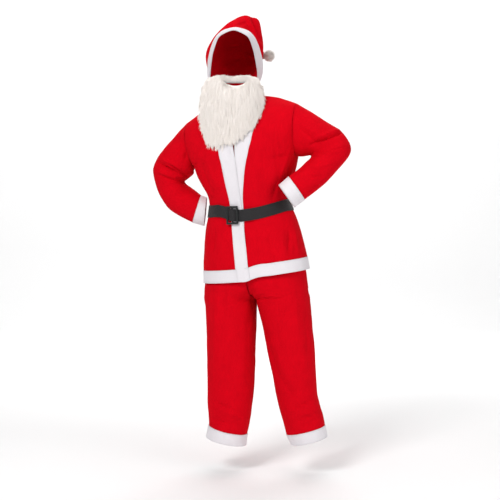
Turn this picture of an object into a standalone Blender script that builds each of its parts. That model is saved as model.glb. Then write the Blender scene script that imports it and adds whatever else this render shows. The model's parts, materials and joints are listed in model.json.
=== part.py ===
"""Child's santa suit as hollow cloth solids: jacket, belt, trousers, hat and beard.

Tables are in millimetres, scaled to metres when a mesh is made. +Z is up, the front looks to -Y and
the origin is the centre of the neck. Left and right are the wearer's, so left is +X.
"""
import math
import bpy
import numpy as np

MM = 0.001
CLOTH = 1.6            # red fleece wall
PLUSH = 2.8            # white plush wall
PROUD = 1.2            # plush stands this far over the fleece
BAND = 1.6             # front band wall
SEAM = 0.3             # gap between two pieces at a seam
WEB = 1.6              # belt webbing

YAW = math.radians(17)     # chest turned to the wearer's right
ROLL = math.radians(5.3)   # body leans to the wearer's right
AXIS_X = 9.0               # place of the leaning axis at the neck
SIDE = {"left": 1.0, "right": -1.0}

BELT_LOW, BELT_TOP = -350.0, -316.0
WAIST_RISE = {"left": 18.0, "right": 19.0}   # how far the waist at each side lies above the buckle

# jacket section: z, half width, front, back, roundness
TORSO = (
    (-540, 158, 107, 104, 2.2),
    (-505, 156, 105, 103, 2.2),
    (-450, 150, 101, 98, 2.2),
    (-400, 141, 94, 92, 2.2),
    (-362, 130, 89, 87, 2.2),
    (-333, 120, 86, 84, 2.2),
    (-300, 118, 88, 86, 2.2),
    (-255, 128, 94, 92, 2.3),
    (-215, 144, 99, 99, 2.3),
    (-180, 154, 102, 105, 2.3),
    (-150, 158, 102, 106, 2.3),
)
TORSO_ROWS = (-519.5, -501.5, -483.2, -482.8, -460, -432, -404, -376, -350, -333, -316, -294, -270,
              -240, -210, -180)
UPPER_ROWS = 10
FRONT_COLS, SHOULDER_COLS, NECK_COLS = 8, 8, 4

# white front bands: rows of the grid, and how far the band reaches from the free edge in each
LEFT_BAND = ((7, 10, 11, 12, 13, 14, 15, 17, 19, 21, 23, 25), (5, 7, 8, 11, 17, 23.5, 32, 40, 46, 40, 26, 11))
RIGHT_BAND = ((0, 8, 11, 12, 13, 14, 15, 17, 19, 25), (-24, -33, -33, -35, -38, -41, -43, -46, -46, -42))

SHOULDER = {"left": (168, 0, -32), "right": (-164, 0, -50)}
NECK = {"left": (61, 2, 5), "right": (-61, 2, -1)}
ARMHOLE_FRONT, ARMHOLE_BACK = 56.0, 60.0
# free front edge from underarm level to the neck
LAPEL = {
    "left": ((0, -102, -180), (0, -101, -156), (4, -99, -130), (24, -88, -86), (44, -54, -38), (61, 2, 5)),
    "right": ((0, -102, -180), (0, -101, -156), (-4, -99, -130), (-22, -89, -88), (-43, -55, -40), (-61, 2, -1)),
}
BACK_LINE = ((0, 105, -180), (0, 103, -120), (0, 90, -60), (0, 68, -18), (0, 52, 8))
NECKLINE = ((1.0, 0.0), (0.82, 0.62), (0.48, 0.92), (0.22, 1.0), (0.0, 1.0))

# sleeve section: outer x, z, inner x, z, middle y, half depth
SLEEVE = {
    "left": (
        (217, -43, 188, -166, -52, 57),
        (259, -71, 200, -164, -54, 56),
        (296, -94, 207, -163, -57, 55),
        (317, -123, 210, -164, -62, 54),
        (323, -148, 210, -168, -67, 53),
        (313, -172, 206, -173, -73, 50),
        (289, -201, 194, -184, -80, 47),
        (257, -236, 176, -201, -88, 44),
        (226, -262, 160, -213, -97, 41),
        (191, -288, 146, -224, -105, 38),
    ),
    "right": (
        (-173, -93, -127, -203, 53, 54),
        (-203, -127, -128, -213, 58, 57),
        (-232, -162, -139, -223, 68, 55),
        (-248, -193, -150, -231, 76, 53),
        (-248, -216, -155, -235, 80, 50),
        (-241, -245, -154, -239, 80, 47),
        (-229, -276, -148, -245, 76, 45),
        (-205, -313, -135, -254, 68, 43),
        (-171, -337, -120, -265, 57, 41),
        (-131, -356, -106, -277, 46, 40),
    ),
}
CUFF = {
    "left": ((191, -288, 146, -224, -105, 39), (176, -299, 132, -237, -110, 40), (162, -310, 118, -249, -114, 40)),
    "right": ((-131, -356, -106, -277, 46, 41), (-113, -361, -97, -281, 41, 42), (-96, -366, -88, -284, 37, 42)),
}

# trousers inside the jacket: z, half width, front, back, share of the half body, shift
HIPS = (
    (-352.5, 122, 83, 81, 1.0, 0.0),
    (-395, 133, 88, 86, 1.0, 0.0),
    (-445, 142, 94, 92, 1.0, -0.5),
    (-485, 147, 95, 97, 0.96, -1.5),
    (-514, 150.5, 94, 98, 0.85, -3.0),
    (-536, 152.5, 92, 97, 0.73, -4.5),
    (-554, 154, 89.5, 94, 0.62, -5.5),
    (-567, 155, 87, 90, 0.55, -6.5),
)
# legs: outer x, y, z, inner x, y, z, front, back
LEG = {
    "left": (
        (208, -42, -571, 58.0, 2, -576, 85, 88),
        (211, -42.5, -597, 63, -1, -601, 82, 84),
        (218, -43, -665, 78, -9, -665, 74, 74),
        (224, -46, -723, 88, -14, -723, 69, 68),
        (227, -45, -780, 100, -19, -780, 65, 64),
        (231, -45, -838, 111, -23, -838, 62, 60),
        (238, -45, -877, 120, -25, -882, 60, 58),
        (249, -45, -912, 131, -27, -922, 59, 57),
        (254, -45, -938, 143, -29, -966, 57, 55),
    ),
    "right": (
        (-89, 45, -596, 56.0, 1, -576, 85, 88),
        (-88, 42, -619, 55.2, -1, -603, 82, 84),
        (-87, 34, -669, 55, -5, -669, 75, 75),
        (-87, 26, -728, 53, -6, -728, 69, 68),
        (-87, 23, -786, 52, -7, -786, 66, 65),
        (-86, 19, -845, 49, -7, -845, 64, 62),
        (-86, 16, -889, 44, -6, -889, 62, 60),
        (-83, 13, -922, 38, -5, -932, 60, 58),
        (-82, 11, -946, 30, -5, -971, 57, 55),
    ),
}
LEG_BAND = {
    "left": ((254, -45, -938, 143, -29, -966, 58, 56), (257, -45, -955, 150, -29, -981, 59, 57),
             (260, -45, -971, 158, -31, -996, 58, 56)),
    "right": ((-82, 11, -946, 30, -5, -971, 58, 56), (-86, 11, -964, 28, -5, -988, 60, 58),
              (-89, 10, -981, 26, -6, -1004, 59, 57)),
}

# hat brim at the face, front to nape: middle x, half width, y, z
FACE_EDGE = ((-9, 0, -87, 186), (-9, 35, -76, 174), (-9, 51, -54, 151), (-9.5, 60, -28, 122), (-9, 65, -6, 96),
             (-9, 68, 14, 72), (-9, 64, 36, 46), (-9, 43, 54, 28), (-9, 0, 61, 20))
# hat brim at the crown seam, front to nape: middle x, half width, y, z
CROWN_EDGE = ((-4, 0, -55, 198), (-4, 36, -46, 190), (-5, 59, -24, 168), (-5, 72, 2, 138), (-5, 79, 28, 108),
              (-6, 80, 52, 82), (-8, 73, 74, 58), (-9, 46, 90, 40), (-9, 0, 96, 34))
# hat crown: top x, y, z, bottom x, y, z, half width, heading of the width in degrees
CROWN = (
    (-10, -34, 217, -9, 106, 48, 82, 0),
    (9, -10, 231, -6, 120, 66, 76, -5),
    (27, 14, 242, 3, 130, 84, 64, -12),
    (46, 40, 240, 15, 134, 98, 51, -26),
    (62, 66, 237, 29, 131, 105, 39, -42),
    (65, 93, 214, 42, 126, 110, 29, -58),
    (69, 107, 186, 53, 119, 116, 20, -75),
    (74, 111, 160, 66, 112, 123, 13, -92),
    (80, 108, 144.5, 78, 107, 128.5, 8, -104),
)
POMPOM = (94.4, 102, 136.3, 17)

# beard outline round the mouth from the wearer's left corner: x, z
BEARD_EDGE = ((61, 56), (70, 34), (77, 12), (78, -8), (71, -30), (63, -57), (51, -80), (32, -93), (14, -109),
              (-4, -121), (-32, -126), (-58, -132), (-77, -135), (-89, -112), (-97, -90), (-105, -66), (-108, -46),
              (-105, -28), (-103, -6), (-98, 28), (-86, 55), (-52, 62), (-26, 60), (-12, 56), (4, 60), (34, 62))
MOUTH = (-5, 44, 31, 8.5, 6.5)      # middle x, z, half width, half height, sag of the middle
BEARD_WALL = 9.0
# beard back surface: z, y at the middle, slope across, how far the sides go back, place of the middle
BEARD_BACK = ((64, -72, 0.0, 60, -13), (30, -86, 0.0, 56, -13), (-10, -99, -0.03, 46, -10),
              (-50, -101.2, -0.12, 30, -4), (-80, -98.4, -0.24, 18, -2), (-110, -100.6, -0.30, 12, 0),
              (-145, -102.7, -0.28, 8, 0))

# elastic round the back of the head from corner to corner: x, y, z
ELASTIC = ((-77, -47, 54), (-79, -20, 55), (-78, 0, 56), (-75.3, 24, 57), (-54, 50, 56), (-9, 64, 56), (36, 50, 56),
           (57.3, 24, 57), (60, 0, 56), (61, -20, 55), (59, -47, 54))

# belt: bar place along the waist, foot and depth of the bar, place of the tail's point
BAR_AT, BAR_LOW, BAR_DEEP, TAIL_AT = 24.5, 6.7, 2.7, 92.0

# creases: part, x0, z0, x1, z1, half width, height
CREASES = (
    ("torso", -40, -214, -92, -178, 16, 3.0), ("torso", -45, -258, -95, -226, 14, 3.0),
    ("torso", -52, -282, -86, -262, 12, 2.5), ("torso", 60, -262, 140, -205, 16, 3.5),
    ("torso", 50, -288, 120, -262, 12, 3.0), ("torso", 80, -220, 150, -182, 14, 3.0),
    ("torso", -55, -370, -72, -470, 14, 3.0), ("torso", 60, -368, 82, -465, 16, 3.5),
    ("torso", 110, -372, 142, -462, 14, 3.5), ("torso", -20, -372, -26, -450, 12, 2.0),
    ("sleeve_left", 222, -160, 300, -112, 10, -4.0), ("sleeve_left", 232, -172, 312, -134, 11, 4.0),
    ("sleeve_left", 200, -178, 282, -180, 10, 3.0), ("sleeve_left", 196, -120, 250, -80, 13, 3.0),
    ("sleeve_right", -232, -188, -176, -216, 10, -4.0), ("sleeve_right", -226, -206, -170, -232, 10, 4.0),
    ("sleeve_right", -206, -150, -150, -200, 12, 3.5), ("sleeve_right", -196, -262, -160, -250, 10, 3.0),
    ("trousers", 60, -590, 150, -640, 13, 3.0), ("trousers", 86, -693, 112, -780, 12, -4.0),
    ("trousers", 112, -780, 168, -842, 12, -4.0), ("trousers", 100, -700, 140, -790, 13, 4.0),
    ("trousers", 30, -590, -30, -640, 13, 3.0), ("trousers", -60, -880, 30, -915, 11, 4.0),
    ("trousers", -66, -915, 20, -940, 9, -3.0), ("trousers", 130, -895, 236, -870, 11, 4.0),
    ("trousers", 140, -925, 244, -900, 9, -3.0), ("trousers", -30, -650, -40, -800, 16, 3.0),
    ("trousers", 190, -640, 205, -800, 15, 3.0),
)

RED = (0.56, 0.008, 0.016)
WHITE = (0.86, 0.84, 0.84)
BEARD_WHITE = (0.82, 0.77, 0.71)
CHARCOAL = (0.028, 0.028, 0.03)
BLACK = (0.009, 0.009, 0.009)


def unit(v):
    v = np.asarray(v, float)
    return v / np.maximum(np.linalg.norm(v, axis=-1, keepdims=True), 1e-9)


def smooth(table, count):
    """Read a table at even steps of its rows, through a curve that passes each row."""
    t = np.asarray(table, float)
    ends = np.vstack([2 * t[0] - t[1], t, 2 * t[-1] - t[-2]])
    out = []
    for s in np.linspace(0, len(t) - 1, count):
        i = min(int(s), len(t) - 2)
        f = s - i
        a, b, c, d = ends[i:i + 4]
        out.append(0.5 * (2 * b + (c - a) * f + (2 * a - 5 * b + 4 * c - d) * f * f
                          + (3 * b - a - 3 * c + d) * f ** 3))
    return np.array(out)


def body(points):
    """Turn and lean torso points into the part's frame."""
    p = np.asarray(points, float)
    x = p[..., 0] * math.cos(YAW) + p[..., 1] * math.sin(YAW)
    y = -p[..., 0] * math.sin(YAW) + p[..., 1] * math.cos(YAW)
    z = p[..., 2]
    return np.stack([x * math.cos(ROLL) - z * math.sin(ROLL) + AXIS_X, y,
                     x * math.sin(ROLL) + z * math.cos(ROLL)], -1)


def torso(points):
    """The other way: from the part's frame to the upright, unturned torso."""
    p = np.asarray(points, float)
    x = (p[..., 0] - AXIS_X) * math.cos(ROLL) + p[..., 2] * math.sin(ROLL)
    z = -(p[..., 0] - AXIS_X) * math.sin(ROLL) + p[..., 2] * math.cos(ROLL)
    y = p[..., 1]
    return np.stack([x * math.cos(YAW) - y * math.sin(YAW), x * math.sin(YAW) + y * math.cos(YAW), z], -1)


def eased(t):
    t = np.clip(t, 0, 1)
    return t * t * (3 - 2 * t)


def waist_rise(x, z, front):
    """How far the cloth near the waist is lifted, since the belt dips at its buckle."""
    if front:
        rise = (WAIST_RISE["right"] * eased((-x - 10) / 62)
                + WAIST_RISE["left"] * np.clip(x / 118, 0, 1) ** 1.8)
    else:
        middle = (WAIST_RISE["left"] + WAIST_RISE["right"]) / 2
        rise = middle - (WAIST_RISE["right"] - WAIST_RISE["left"]) / 2 * x / 120
    return rise * eased((z + 470) / 108) * eased((-215 - z) / 92)


class Skin:
    """A grid of outer points with a normal at each."""

    def __init__(self, points, closed=False, outward=None):
        self.p = np.asarray(points, float)
        self.closed = closed
        if closed:
            across = np.roll(self.p, -1, 1) - np.roll(self.p, 1, 1)
        else:
            across = np.gradient(self.p, axis=1)
        along = np.gradient(self.p, axis=0)
        self.n = unit(np.cross(across, along))
        middle = self.p.mean(axis=1, keepdims=True) if outward is None else np.asarray(outward, float)
        if np.sum(self.n * (self.p - middle)) < 0:
            self.n = -self.n

    def crease(self, part):
        for name, x0, z0, x1, z1, reach, height in CREASES:
            if name != part:
                continue
            a, b = np.array([x0, z0], float), np.array([x1, z1], float)
            q = self.p[..., [0, 2]] - a
            t = np.clip(q @ (b - a) / np.dot(b - a, b - a), 0, 1)
            away = np.linalg.norm(q - t[..., None] * (b - a), axis=-1)
            rise = height * np.cos(np.clip(away / reach, 0, 1) * math.pi / 2) ** 2 * np.sin(0.25 + 2.64 * t)
            facing = np.clip(-self.n[..., 1] * 1.6, 0, 1)
            self.p = self.p + self.n * (rise * facing)[..., None]
        return self

    def rows(self, first, last):
        part = Skin.__new__(Skin)
        part.p, part.n, part.closed = self.p[first:last].copy(), self.n[first:last].copy(), self.closed
        return part

    def lifted(self, height):
        part = Skin.__new__(Skin)
        part.p = self.p + self.n * (np.zeros(self.p.shape[:2]) + height)[..., None]
        part.n, part.closed = self.n.copy(), self.closed
        return part


def beside(*skins):
    """Join grids side by side along their columns."""
    part = Skin.__new__(Skin)
    part.p = np.concatenate([s.p for s in skins], 1)
    part.n = np.concatenate([s.n for s in skins], 1)
    part.closed = False
    return part


def mirrored(skin, first=0):
    """The same grid with its columns in the other order."""
    part = Skin.__new__(Skin)
    part.p, part.n, part.closed = skin.p[:, ::-1][:, first:], skin.n[:, ::-1][:, first:], skin.closed
    return part


def without_first(skin):
    """The same grid without its first column."""
    return mirrored(mirrored(skin), 1)


def inset(skin, first=0.0, last=0.0, low=0.0, top=0.0):
    """Pull the edges of a grid in by a part of the seam gap."""
    p = skin.p
    if first:
        p[:, 0] += first * unit(p[:, 1] - p[:, 0])
    if last:
        p[:, -1] += last * unit(p[:, -2] - p[:, -1])
    if low:
        p[0] += low * unit(p[1] - p[0])
    if top:
        p[-1] += top * unit(p[-2] - p[-1])
    return skin


def share(a, b):
    """One normal for two edges that meet."""
    n = unit(a + b)
    a[...] = n
    b[...] = n


def material(name, colour, roughness, sheen):
    m = bpy.data.materials.new(name)
    m.use_nodes = True
    shader = m.node_tree.nodes["Principled BSDF"]
    shader.inputs["Base Color"].default_value = (*colour, 1)
    shader.inputs["Roughness"].default_value = roughness
    shader.inputs["Sheen Weight"].default_value = sheen
    return m


def solid(name, points, faces, colour, roughness=0.85, sheen=0.3, rounded=True):
    """Make one closed object from points in millimetres."""
    p = np.asarray(points, float)
    volume = 0.0
    for f in faces:
        for i in range(1, len(f) - 1):
            volume += np.dot(p[f[0]], np.cross(p[f[i]], p[f[i + 1]]))
    if volume < 0:
        faces = [tuple(reversed(f)) for f in faces]
    mesh = bpy.data.meshes.new(name)
    mesh.from_pydata([tuple(v) for v in p * MM], [], faces)
    mesh.update()
    for polygon in mesh.polygons:
        polygon.use_smooth = rounded
    mesh.materials.append(material(name, colour, roughness, sheen))
    thing = bpy.data.objects.new(name, mesh)
    bpy.context.scene.collection.objects.link(thing)
    return thing


def wall(name, skin, thickness, colour, roughness=0.85, sheen=0.3):
    """A cloth wall: the grid outside, its copy moved in, and rims on the open edges."""
    rows, cols = skin.p.shape[:2]
    inner = skin.p - skin.n * (np.zeros((rows, cols)) + thickness)[..., None]
    points = np.concatenate([skin.p.reshape(-1, 3), inner.reshape(-1, 3)])
    back = rows * cols

    def at(r, c, side):
        return side * back + r * cols + c % cols

    faces = []
    spans = cols if skin.closed else cols - 1
    for c in range(spans):
        for r in range(rows - 1):
            faces.append((at(r, c, 0), at(r, c + 1, 0), at(r + 1, c + 1, 0), at(r + 1, c, 0)))
            faces.append((at(r + 1, c, 1), at(r + 1, c + 1, 1), at(r, c + 1, 1), at(r, c, 1)))
        faces.append((at(0, c + 1, 0), at(0, c, 0), at(0, c, 1), at(0, c + 1, 1)))
        faces.append((at(rows - 1, c, 0), at(rows - 1, c + 1, 0), at(rows - 1, c + 1, 1), at(rows - 1, c, 1)))
    if not skin.closed:
        for r in range(rows - 1):
            faces.append((at(r, 0, 0), at(r + 1, 0, 0), at(r + 1, 0, 1), at(r, 0, 1)))
            faces.append((at(r + 1, cols - 1, 0), at(r, cols - 1, 0),
                          at(r, cols - 1, 1), at(r + 1, cols - 1, 1)))
    return solid(name, points, faces, colour, roughness, sheen)


def torso_ring(z, side, front, cols):
    """Quarter of a jacket section from the side seam to the middle."""
    dense = smooth(TORSO, 120)
    a, bf, bb, n = (np.interp(z, dense[:, 0], dense[:, k]) for k in range(1, 5))
    turn = np.linspace(0, math.pi / 2, cols)
    x = side * a * np.cos(turn) ** (2 / n)
    y = (-bf if front else bb) * np.sin(turn) ** (2 / n)
    lift = 8 * np.clip(1 + x / 150, 0, None) * np.clip((-400 - z) / 90, 0, 1)
    if front:
        lift = lift * np.clip(x / 9, 0, 1)
    return np.stack([x, y, z + lift + waist_rise(x, z, front)], -1)


def quarter(side_name, front):
    """Quarter of the jacket from hem to shoulder."""
    side = SIDE[side_name]
    cols = FRONT_COLS + 1 if front else SHOULDER_COLS + NECK_COLS + 1
    rings = [torso_ring(z, side, front, cols) for z in TORSO_ROWS]
    low = rings[-1]
    tip, neck = np.array(SHOULDER[side_name], float), np.array(NECK[side_name], float)
    start = low[0]
    turn = np.linspace(-math.pi / 2, math.pi / 2, UPPER_ROWS + 1)
    rise = (1 + np.sin(turn)) / 2
    depth = (-ARMHOLE_FRONT if front else ARMHOLE_BACK) * np.cos(turn)
    left = start + (tip - start) * rise[:, None]
    left[:, 1] += depth
    if front:
        right = smooth(LAPEL[side_name], UPPER_ROWS + 1)
        s = np.linspace(0, 1, cols)[:, None]
        top = tip + (neck - tip) * s + np.array([0, 0, 5.0]) * np.sin(math.pi * s)
    else:
        right = smooth(BACK_LINE, UPPER_ROWS + 1)
        s = np.linspace(0, 1, SHOULDER_COLS + 1)[:, None]
        top = tip + (neck - tip) * s + np.array([0, 0, 5.0]) * np.sin(math.pi * s)
        middle = right[-1]
        for wide, far in NECKLINE[1:]:
            point = (neck[0] * wide, neck[1] + (middle[1] - neck[1]) * far,
                     neck[2] + (middle[2] - neck[2]) * far)
            top = np.vstack([top, point])
    if front:
        right[:, 0] = side * np.clip(side * right[:, 0], 0, None)
    right[0], right[-1] = low[-1], top[-1]
    rows = []
    c = np.linspace(0, 1, cols)[:, None]
    for i in range(1, UPPER_ROWS + 1):
        q = i / UPPER_ROWS
        corners = (1 - c) * (1 - q) * low[0] + c * (1 - q) * low[-1] + (1 - c) * q * top[0] + c * q * top[-1]
        rows.append((1 - q) * low + q * top + (1 - c) * left[i] + c * right[i] - corners)
    grid = body(np.array(rings + rows))
    return Skin(grid, outward=body(np.array([[0, 0, -250.0]])))


def jacket_quarters():
    """Four quarters whose normals agree where they meet."""
    under = len(TORSO_ROWS) - 1
    q = {(s, f): quarter(s, f) for s in SIDE for f in (True, False)}
    for s in SIDE:
        front, back = q[s, True], q[s, False]
        share(front.n[:under + 1, 0], back.n[:under + 1, 0])
        share(front.n[-1], back.n[-1, :FRONT_COLS + 1])
        middle = (front.p[under:, 0].mean(0) + back.p[under:, 0].mean(0)) / 2
        for skin in (front, back):
            out = skin.p[under:, 0] - middle
            out[:, 0] = 0
            skin.n[under:, 0] = unit(skin.n[under:, 0] + unit(out))
        for row in (under, -1):
            share(front.n[row, 0], back.n[row, 0])
    for f in (True, False):
        share(q["left", f].n[:under + 4, -1], q["right", f].n[:under + 4, -1])
    share(q["left", False].n[:, -1], q["right", False].n[:, -1])
    for skin in q.values():
        skin.crease("torso")
    return q


def across(left, right, row, s):
    """Point and normal on a front at s mm along its row from its free edge, left side positive."""
    skin = left if s >= 0 else right
    line, normals = skin.p[row, ::-1], skin.n[row, ::-1]
    run = np.concatenate([[0], np.cumsum(np.linalg.norm(np.diff(line, axis=0), axis=1))])
    at = [np.interp(abs(s), run, line[:, k]) for k in range(3)]
    n = [np.interp(abs(s), run, normals[:, k]) for k in range(3)]
    return np.array(at), unit(n)


def strip(left, right, rows, edges, lifts):
    """A band on the fronts: per row the places across it and how far each stands off."""
    p, n = [], []
    for row, places, heights in zip(rows, edges, lifts):
        pairs = [across(left, right, row, s) for s in places]
        p.append([a + b * h for (a, b), h in zip(pairs, heights)])
        n.append([b for a, b in pairs])
    skin = Skin.__new__(Skin)
    skin.p, skin.n, skin.closed = np.array(p), np.array(n), False
    return skin


def build_jacket():
    q = jacket_quarters()
    gap = SEAM / 2
    split, under = 3, len(TORSO_ROWS) - 1
    armholes = {}
    for s in SIDE:
        front, back = q[s, True], q[s, False]
        armholes[s] = (np.concatenate([front.p[under:, 0], back.p[under + 1:-1, 0][::-1]]),
                       np.concatenate([front.n[under:, 0], back.n[under + 1:-1, 0][::-1]]))
    for s in SIDE:
        panel = q[s, True].rows(split, None)
        inset(panel, first=gap, last=gap, top=gap)
        wall("jacket_front_" + s, panel, CLOTH, RED)
    back = beside(q["left", False].rows(split, None), mirrored(q["right", False].rows(split, None), 1))
    inset(back, first=gap, last=gap, top=gap)
    wall("jacket_back", back, CLOTH, RED)

    hem = {key: skin.rows(0, 3) for key, skin in q.items()}
    around = beside(mirrored(hem["right", True]), without_first(hem["right", False]),
                    mirrored(hem["left", False], 1), without_first(hem["left", True]))
    inset(around, first=gap, last=gap)
    wall("hem_band", around.lifted(PROUD), PLUSH, WHITE, 0.95, 0.6)

    left, right = q["left", True], q["right", True]
    last = under + UPPER_ROWS
    low, belt = TORSO_ROWS.index(-376), TORSO_ROWS.index(BELT_TOP)
    left_rows = list(range(low, last + 1))
    left_out = np.interp(left_rows, *LEFT_BAND)
    places = [np.linspace(0.6, w, 6) for w in left_out]
    lifts = [np.full(6, SEAM + 0.35 + BAND + 0.6 * np.clip((row - last + 5) / 2, 0, 1)) for row in left_rows]
    band = inset(strip(left, right, left_rows, places, lifts), top=gap)
    wall("front_band_left", band, BAND, WHITE, 0.95, 0.6)

    right_rows = list(range(0, last + 1))
    out = np.interp(right_rows, *RIGHT_BAND)
    over = np.interp(right_rows, [0, belt - 2, under, under + 1, under + 2], [14, 4, 2, 1, -0.6])
    places, lifts = [], []
    for row, a, b in zip(right_rows, out, over):
        base = SEAM + 0.35 + (PROUD if row < 4 else 0)
        high = base if row < low - 1 else 2 * SEAM + 0.55 + BAND
        inner = -0.8 if b > -0.5 else a * 0.2
        places.append(np.array([a, a * 0.75, a * 0.5, min(a * 0.2, inner), inner, b]))
        places[-1][3] = min(places[-1][3], places[-1][4] - 0.6)
        rise = BAND + 0.6 * np.clip((row - last + 5) / 2, 0, 1)
        lifts.append(np.array([base, base, base, base + (high - base) * 0.6, high, high]) + rise)
    band = inset(strip(left, right, right_rows, places, lifts), top=gap)
    wall("front_band_right", band, BAND, WHITE, 0.95, 0.6)
    return q, armholes


def ring(row, count, start):
    """One sleeve section as points from the low inner side, up the front and down the back."""
    xo, zo, xi, zi, y, deep = row
    outer, inner = np.array([xo, y, zo]), np.array([xi, y, zi])
    middle, half = (outer + inner) / 2, (outer - inner) / 2
    turn = -math.pi / 2 + np.arange(count) * 2 * math.pi / count
    return middle + half * np.sin(turn)[:, None] + start * deep * np.cos(turn)[:, None]


def build_sleeve(side_name, armhole):
    points, normals = armhole
    count = len(points)
    rows = smooth(SLEEVE[side_name], 17)
    forward = np.array([0, -1.0, 0])
    rings = [ring(row, count, forward) for row in rows]
    lead = np.array([SIDE[side_name], 0, -0.2])
    tangent = unit(np.roll(points, -1, 0) - np.roll(points, 1, 0))
    aside = unit(np.cross(tangent, normals))
    aside *= np.sign(aside @ lead)[:, None]
    first = points + SEAM * aside
    mid = 0.5 * (first + rings[0])
    grid = np.array([first, mid] + rings)
    skin = Skin(grid, closed=True).crease("sleeve_" + side_name)
    skin.p[0], skin.n[0] = first, normals
    cuff_rows = smooth(CUFF[side_name], 4)
    cuff = Skin(np.array([ring(row, count, forward) for row in cuff_rows]), closed=True)
    skin.n[-1] = cuff.n[0]
    wall("sleeve_" + side_name, inset(skin, top=SEAM), CLOTH, RED)
    cuff.p[0] = skin.p[-1] + SEAM * unit(cuff.p[1] - cuff.p[0])
    wall("cuff_" + side_name, cuff.lifted(PROUD), PLUSH, WHITE, 0.95, 0.6)


def belt_line(q):
    """Jacket grid round the waist from the front middle over the right side and back to the middle."""
    first = TORSO_ROWS.index(BELT_LOW)
    part = {key: skin.rows(first, first + 3) for key, skin in q.items()}
    return beside(mirrored(part["right", True]), without_first(part["right", False]),
                  mirrored(part["left", False], 1), without_first(part["left", True]))


def reach(line):
    """Length from the start of the waist line to each of its points."""
    return np.concatenate([[0], np.cumsum(np.linalg.norm(np.diff(line.p[1], axis=0), axis=1))])


def along(line, at):
    """Low and top belt points at lengths along the waist, and one normal for both."""
    run = reach(line)
    low, top, n = (np.stack([np.interp(at, run, grid[:, k]) for k in range(3)], -1)
                   for grid in (line.p[0], line.p[2], line.n[1]))
    up = unit(top - low)
    return low, top, unit(n - up * np.sum(n * up, -1, keepdims=True))


def build_belt(q):
    """Webbing strap from under the bar, round the waist and over the bar to its pointed tail, and its buckle."""
    line = belt_line(q)
    run = reach(line)
    total = run[-1]
    stand = 3 * SEAM + 0.7 + 2 * BAND
    under = [(BAR_AT - 6, stand)] + [(k, 0) for k in run if BAR_AT < k < total - 30]
    under += [(27, stand), (40, 0), (total - 34, 0)]
    heights = ([0, 27, 42, total - 40, total - 29, total], [stand, stand, 0.5, 0.5, stand, stand])
    stations = [(s, float(np.interp(s, *heights))) for s, _ in sorted(under)]
    over = BAR_LOW + BAR_DEEP + SEAM
    tail = stand + WEB + SEAM
    bar = total + BAR_AT
    stations += [(total - 24, stand), (total - 12, stand), (total, stand), (bar - 20, stand),
                 (bar - 12, stand + 1.0), (bar - 4, over), (bar + 4, over), (bar + 13, tail + 0.3),
                 (bar + 18, tail - 0.8), (bar + 25, tail - 2.2), (bar + 33, tail - 3.2),
                 (bar + 46, tail - 3.4), (bar + 57, tail - 3.4),
                 (total + TAIL_AT - 4, tail - 3.4), (total + TAIL_AT, tail - 3.4)]
    places = np.array([s for s, _ in stations])
    lifts = np.array([h for _, h in stations])
    foot, head, n = along(line, places % total)
    squeeze = np.ones(len(places))
    squeeze[-2:] = (0.62, 0.12)
    middle = (foot + head) / 2
    rows = [middle + (edge - middle) * squeeze[:, None] + n * lifts[:, None] for edge in (foot, head)]
    skin = Skin.__new__(Skin)
    skin.p, skin.n, skin.closed = np.array(rows), np.array([n, n]), False
    wall("belt_strap", skin.lifted(WEB), WEB, CHARCOAL, 0.7, 0.0)

    foot, head, n = along(line, np.array([BAR_AT]))
    centre, out, up = (foot[0] + head[0]) / 2, n[0], unit(head[0] - foot[0])
    side = np.cross(up, out)
    spans = (-18, -12.5, -2.6, 2.6, 12.5, 18)
    heights = (-26, -20.2, 20.2, 26)
    depths = (BAR_LOW, BAR_LOW + BAR_DEEP, BAR_LOW + 2 * BAR_DEEP)
    cells = {(i, j, 1) for i in range(5) for j in (0, 2)} | {(0, 1, 1), (4, 1, 1)}
    cells |= {(2, 0, 0), (2, 1, 0), (2, 2, 0)}
    points, faces = blocks(cells, spans, heights, depths)
    placed = [centre + side * a + up * b + out * c for a, b, c in points]
    solid("buckle", placed, faces, BLACK, 0.35, 0.0, rounded=False)


def blocks(cells, xs, ys, zs):
    """The outer faces of boxes that fill some cells of a grid."""
    index, points, faces = {}, [], []

    def corner(i, j, k):
        if (i, j, k) not in index:
            index[i, j, k] = len(points)
            points.append((xs[i], ys[j], zs[k]))
        return index[i, j, k]

    sides = (((-1, 0, 0), ((0, 0, 0), (0, 0, 1), (0, 1, 1), (0, 1, 0))),
             ((1, 0, 0), ((1, 0, 0), (1, 1, 0), (1, 1, 1), (1, 0, 1))),
             ((0, -1, 0), ((0, 0, 0), (1, 0, 0), (1, 0, 1), (0, 0, 1))),
             ((0, 1, 0), ((0, 1, 0), (0, 1, 1), (1, 1, 1), (1, 1, 0))),
             ((0, 0, -1), ((0, 0, 0), (0, 1, 0), (1, 1, 0), (1, 0, 0))),
             ((0, 0, 1), ((0, 0, 1), (1, 0, 1), (1, 1, 1), (0, 1, 1))))
    for i, j, k in sorted(cells):
        for (di, dj, dk), loop in sides:
            if (i + di, j + dj, k + dk) not in cells:
                faces.append(tuple(corner(i + a, j + b, k + c) for a, b, c in loop))
    return points, faces


def trouser_row(outer, inner, front, back, share_of_body, cols):
    """Front and back halves of one trouser section, from the outseam to the middle or inseam."""
    outer, inner = np.asarray(outer, float), np.asarray(inner, float)
    wide = np.linalg.norm(outer - inner)
    way = (outer - inner) / wide
    ahead = unit(np.cross(way, (0, 0, 1)))
    ahead = ahead if ahead[1] < 0 else -ahead
    half = share_of_body * wide
    last = math.acos(max(-1.0, -(1 - share_of_body) / share_of_body))
    turn = np.linspace(0, last, cols)[:, None]
    middle = outer - way * half
    return [middle + way * half * np.cos(turn) + sign * ahead * deep * np.sin(turn)
            for sign, deep in ((1, front), (-1, back))]


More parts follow.
